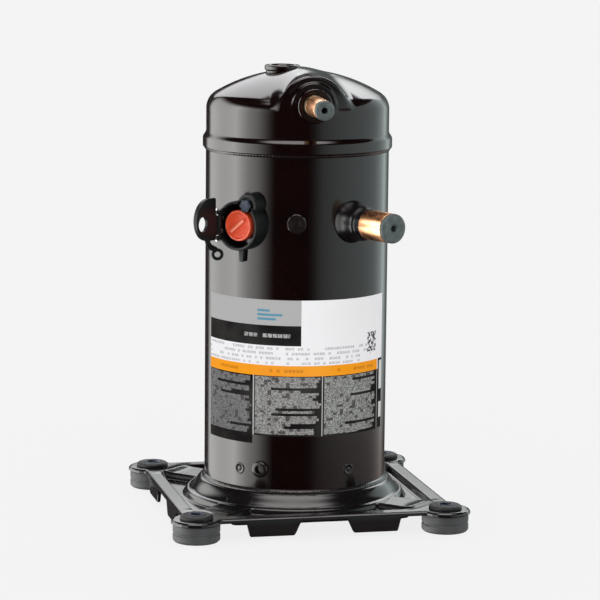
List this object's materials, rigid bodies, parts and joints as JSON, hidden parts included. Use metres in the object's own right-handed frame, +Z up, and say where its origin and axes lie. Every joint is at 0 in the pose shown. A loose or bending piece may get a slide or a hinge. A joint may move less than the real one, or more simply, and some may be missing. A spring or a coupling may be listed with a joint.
{
  "type": "scroll compressor",
  "caption": "Upright hermetic scroll compressor with copper suction and discharge stubs, an open terminal cover and a footed mounting plate.",
  "frame": {"origin": "centre of the four foot bolts, level with the soles of the feet", "axes": "+Z up along the shell and shaft, -Y towards the discharge stub"},
  "size_m": [0.2284, 0.2284, 0.3444],
  "materials": {
    "black_paint": "gloss",
    "plate_paint": "gloss",
    "foot_rubber": "matte",
    "plug_rubber": "matte",
    "zinc_steel": "satin",
    "machined_steel": "satin",
    "lamination_steel": "satin",
    "cast_iron": "rough",
    "cast_aluminium": "satin",
    "bearing_bronze": "satin",
    "brass_pins": "satin",
    "copper": "satin",
    "label_film": "satin",
    "red_moulding": "satin",
    "black_moulding": "gloss",
    "pale_moulding": "matte",
    "wire_jacket": "matte",
    "seal_glass": "gloss"
  },
  "bodies": {
    "housing": {"top_cap": "black_paint", "top_button": "black_paint", "main_shell": "black_paint", "bottom_cap": "black_paint", "base_plate": "plate_paint", "rubber_feet": "foot_rubber", "foot_sleeves": "zinc_steel", "weld_beads": "black_paint", "plug_welds": "black_paint", "oil_port": "black_paint", "rating_label": "label_film", "suction_spud": "black_paint", "suction_stub": "copper", "discharge_collar": "black_paint", "discharge_stub": "copper", "terminal_fence": "black_paint", "terminal_block": "red_moulding", "cover_hinge_pin": "zinc_steel", "fence_clips": "zinc_steel", "ground_screw": "zinc_steel", "hermetic_terminal": "zinc_steel", "glass_seals": "seal_glass", "terminal_pins": "brass_pins", "lead_wires": "wire_jacket", "muffler_plate": "machined_steel", "check_valve_cage": "machined_steel", "guide_sleeves": "machined_steel", "guide_bolts": "machined_steel", "thrust_plate": "machined_steel", "main_bearing_housing": "cast_iron", "main_bearing": "bearing_bronze", "stator_core": "lamination_steel", "windings": "copper", "motor_protector": "pale_moulding", "lower_bearing_frame": "machined_steel", "lower_bearing": "bearing_bronze", "thrust_washer": "machined_steel", "sump_magnet": "cast_iron"},
    "crank": {"crankshaft": "machined_steel", "drive_bushing": "machined_steel", "rotor_core": "lamination_steel", "rotor_cage": "cast_aluminium", "upper_counterweight": "cast_iron", "lower_counterweight": "cast_iron", "oil_pickup": "machined_steel"},
    "orbiting": {"orbiting_scroll": "cast_iron", "hub_bearing": "bearing_bronze"},
    "oldham_hoop": {"oldham_ring": "cast_aluminium"},
    "oldham_slider": {"oldham_keys": "cast_aluminium"},
    "fixed_scroll": {"fixed_scroll": "cast_iron"},
    "seal": {"floating_seal": "cast_iron"},
    "valve": {"check_valve_disc": "machined_steel"},
    "cover": {"terminal_cover": "black_moulding"},
    "suction_bung": {"suction_plug": "plug_rubber"},
    "discharge_bung": {"discharge_plug": "plug_rubber"}
  },
  "joints": [
    {"name": "crank_spin", "type": "hinge", "parent": "housing", "child": "crank", "pos_m": [0, 0, 0.21], "axis": [0, 0, 1], "continuous": true},
    {"name": "scroll_orbit", "type": "hinge", "parent": "crank", "child": "orbiting", "pos_m": [0.0045, 0, 0.235], "axis": [0, 0, 1], "continuous": true},
    {"name": "oldham_swing", "type": "hinge", "parent": "crank", "child": "oldham_hoop", "pos_m": [0.00225, 0, 0.243], "axis": [0, 0, 1], "continuous": true},
    {"name": "oldham_slide", "type": "hinge", "parent": "oldham_hoop", "child": "oldham_slider", "pos_m": [0.0045, 0, 0.243], "axis": [0, 0, 1], "continuous": true},
    {"name": "scroll_float", "type": "slide", "parent": "housing", "child": "fixed_scroll", "axis": [0, 0, 1], "range_m": [0, 0.0006]},
    {"name": "seal_lift", "type": "slide", "parent": "housing", "child": "seal", "axis": [0, 0, 1], "range_m": [0, 0.00085]},
    {"name": "valve_lift", "type": "slide", "parent": "housing", "child": "valve", "axis": [0, 0, 1], "range_m": [0, 0.005]},
    {"name": "cover_swing", "type": "hinge", "parent": "housing", "child": "cover", "pos_m": [-0.07093, -0.04834, 0.229], "axis": [0, 0, 1], "range_deg": [-20, 90]},
    {"name": "suction_plug_pull", "type": "slide", "parent": "housing", "child": "suction_bung", "axis": [0.4067, -0.9135, 0], "range_m": [0, 0.02]},
    {"name": "discharge_plug_pull", "type": "slide", "parent": "housing", "child": "discharge_bung", "axis": [-0.0384, -0.9993, 0], "range_m": [0, 0.02]}
  ],
  "couplings": [
    {"joint": "scroll_orbit", "follows": "crank_spin", "ratio": -1},
    {"joint": "oldham_swing", "follows": "crank_spin", "ratio": -2},
    {"joint": "oldham_slide", "follows": "crank_spin", "ratio": 1}
  ]
}
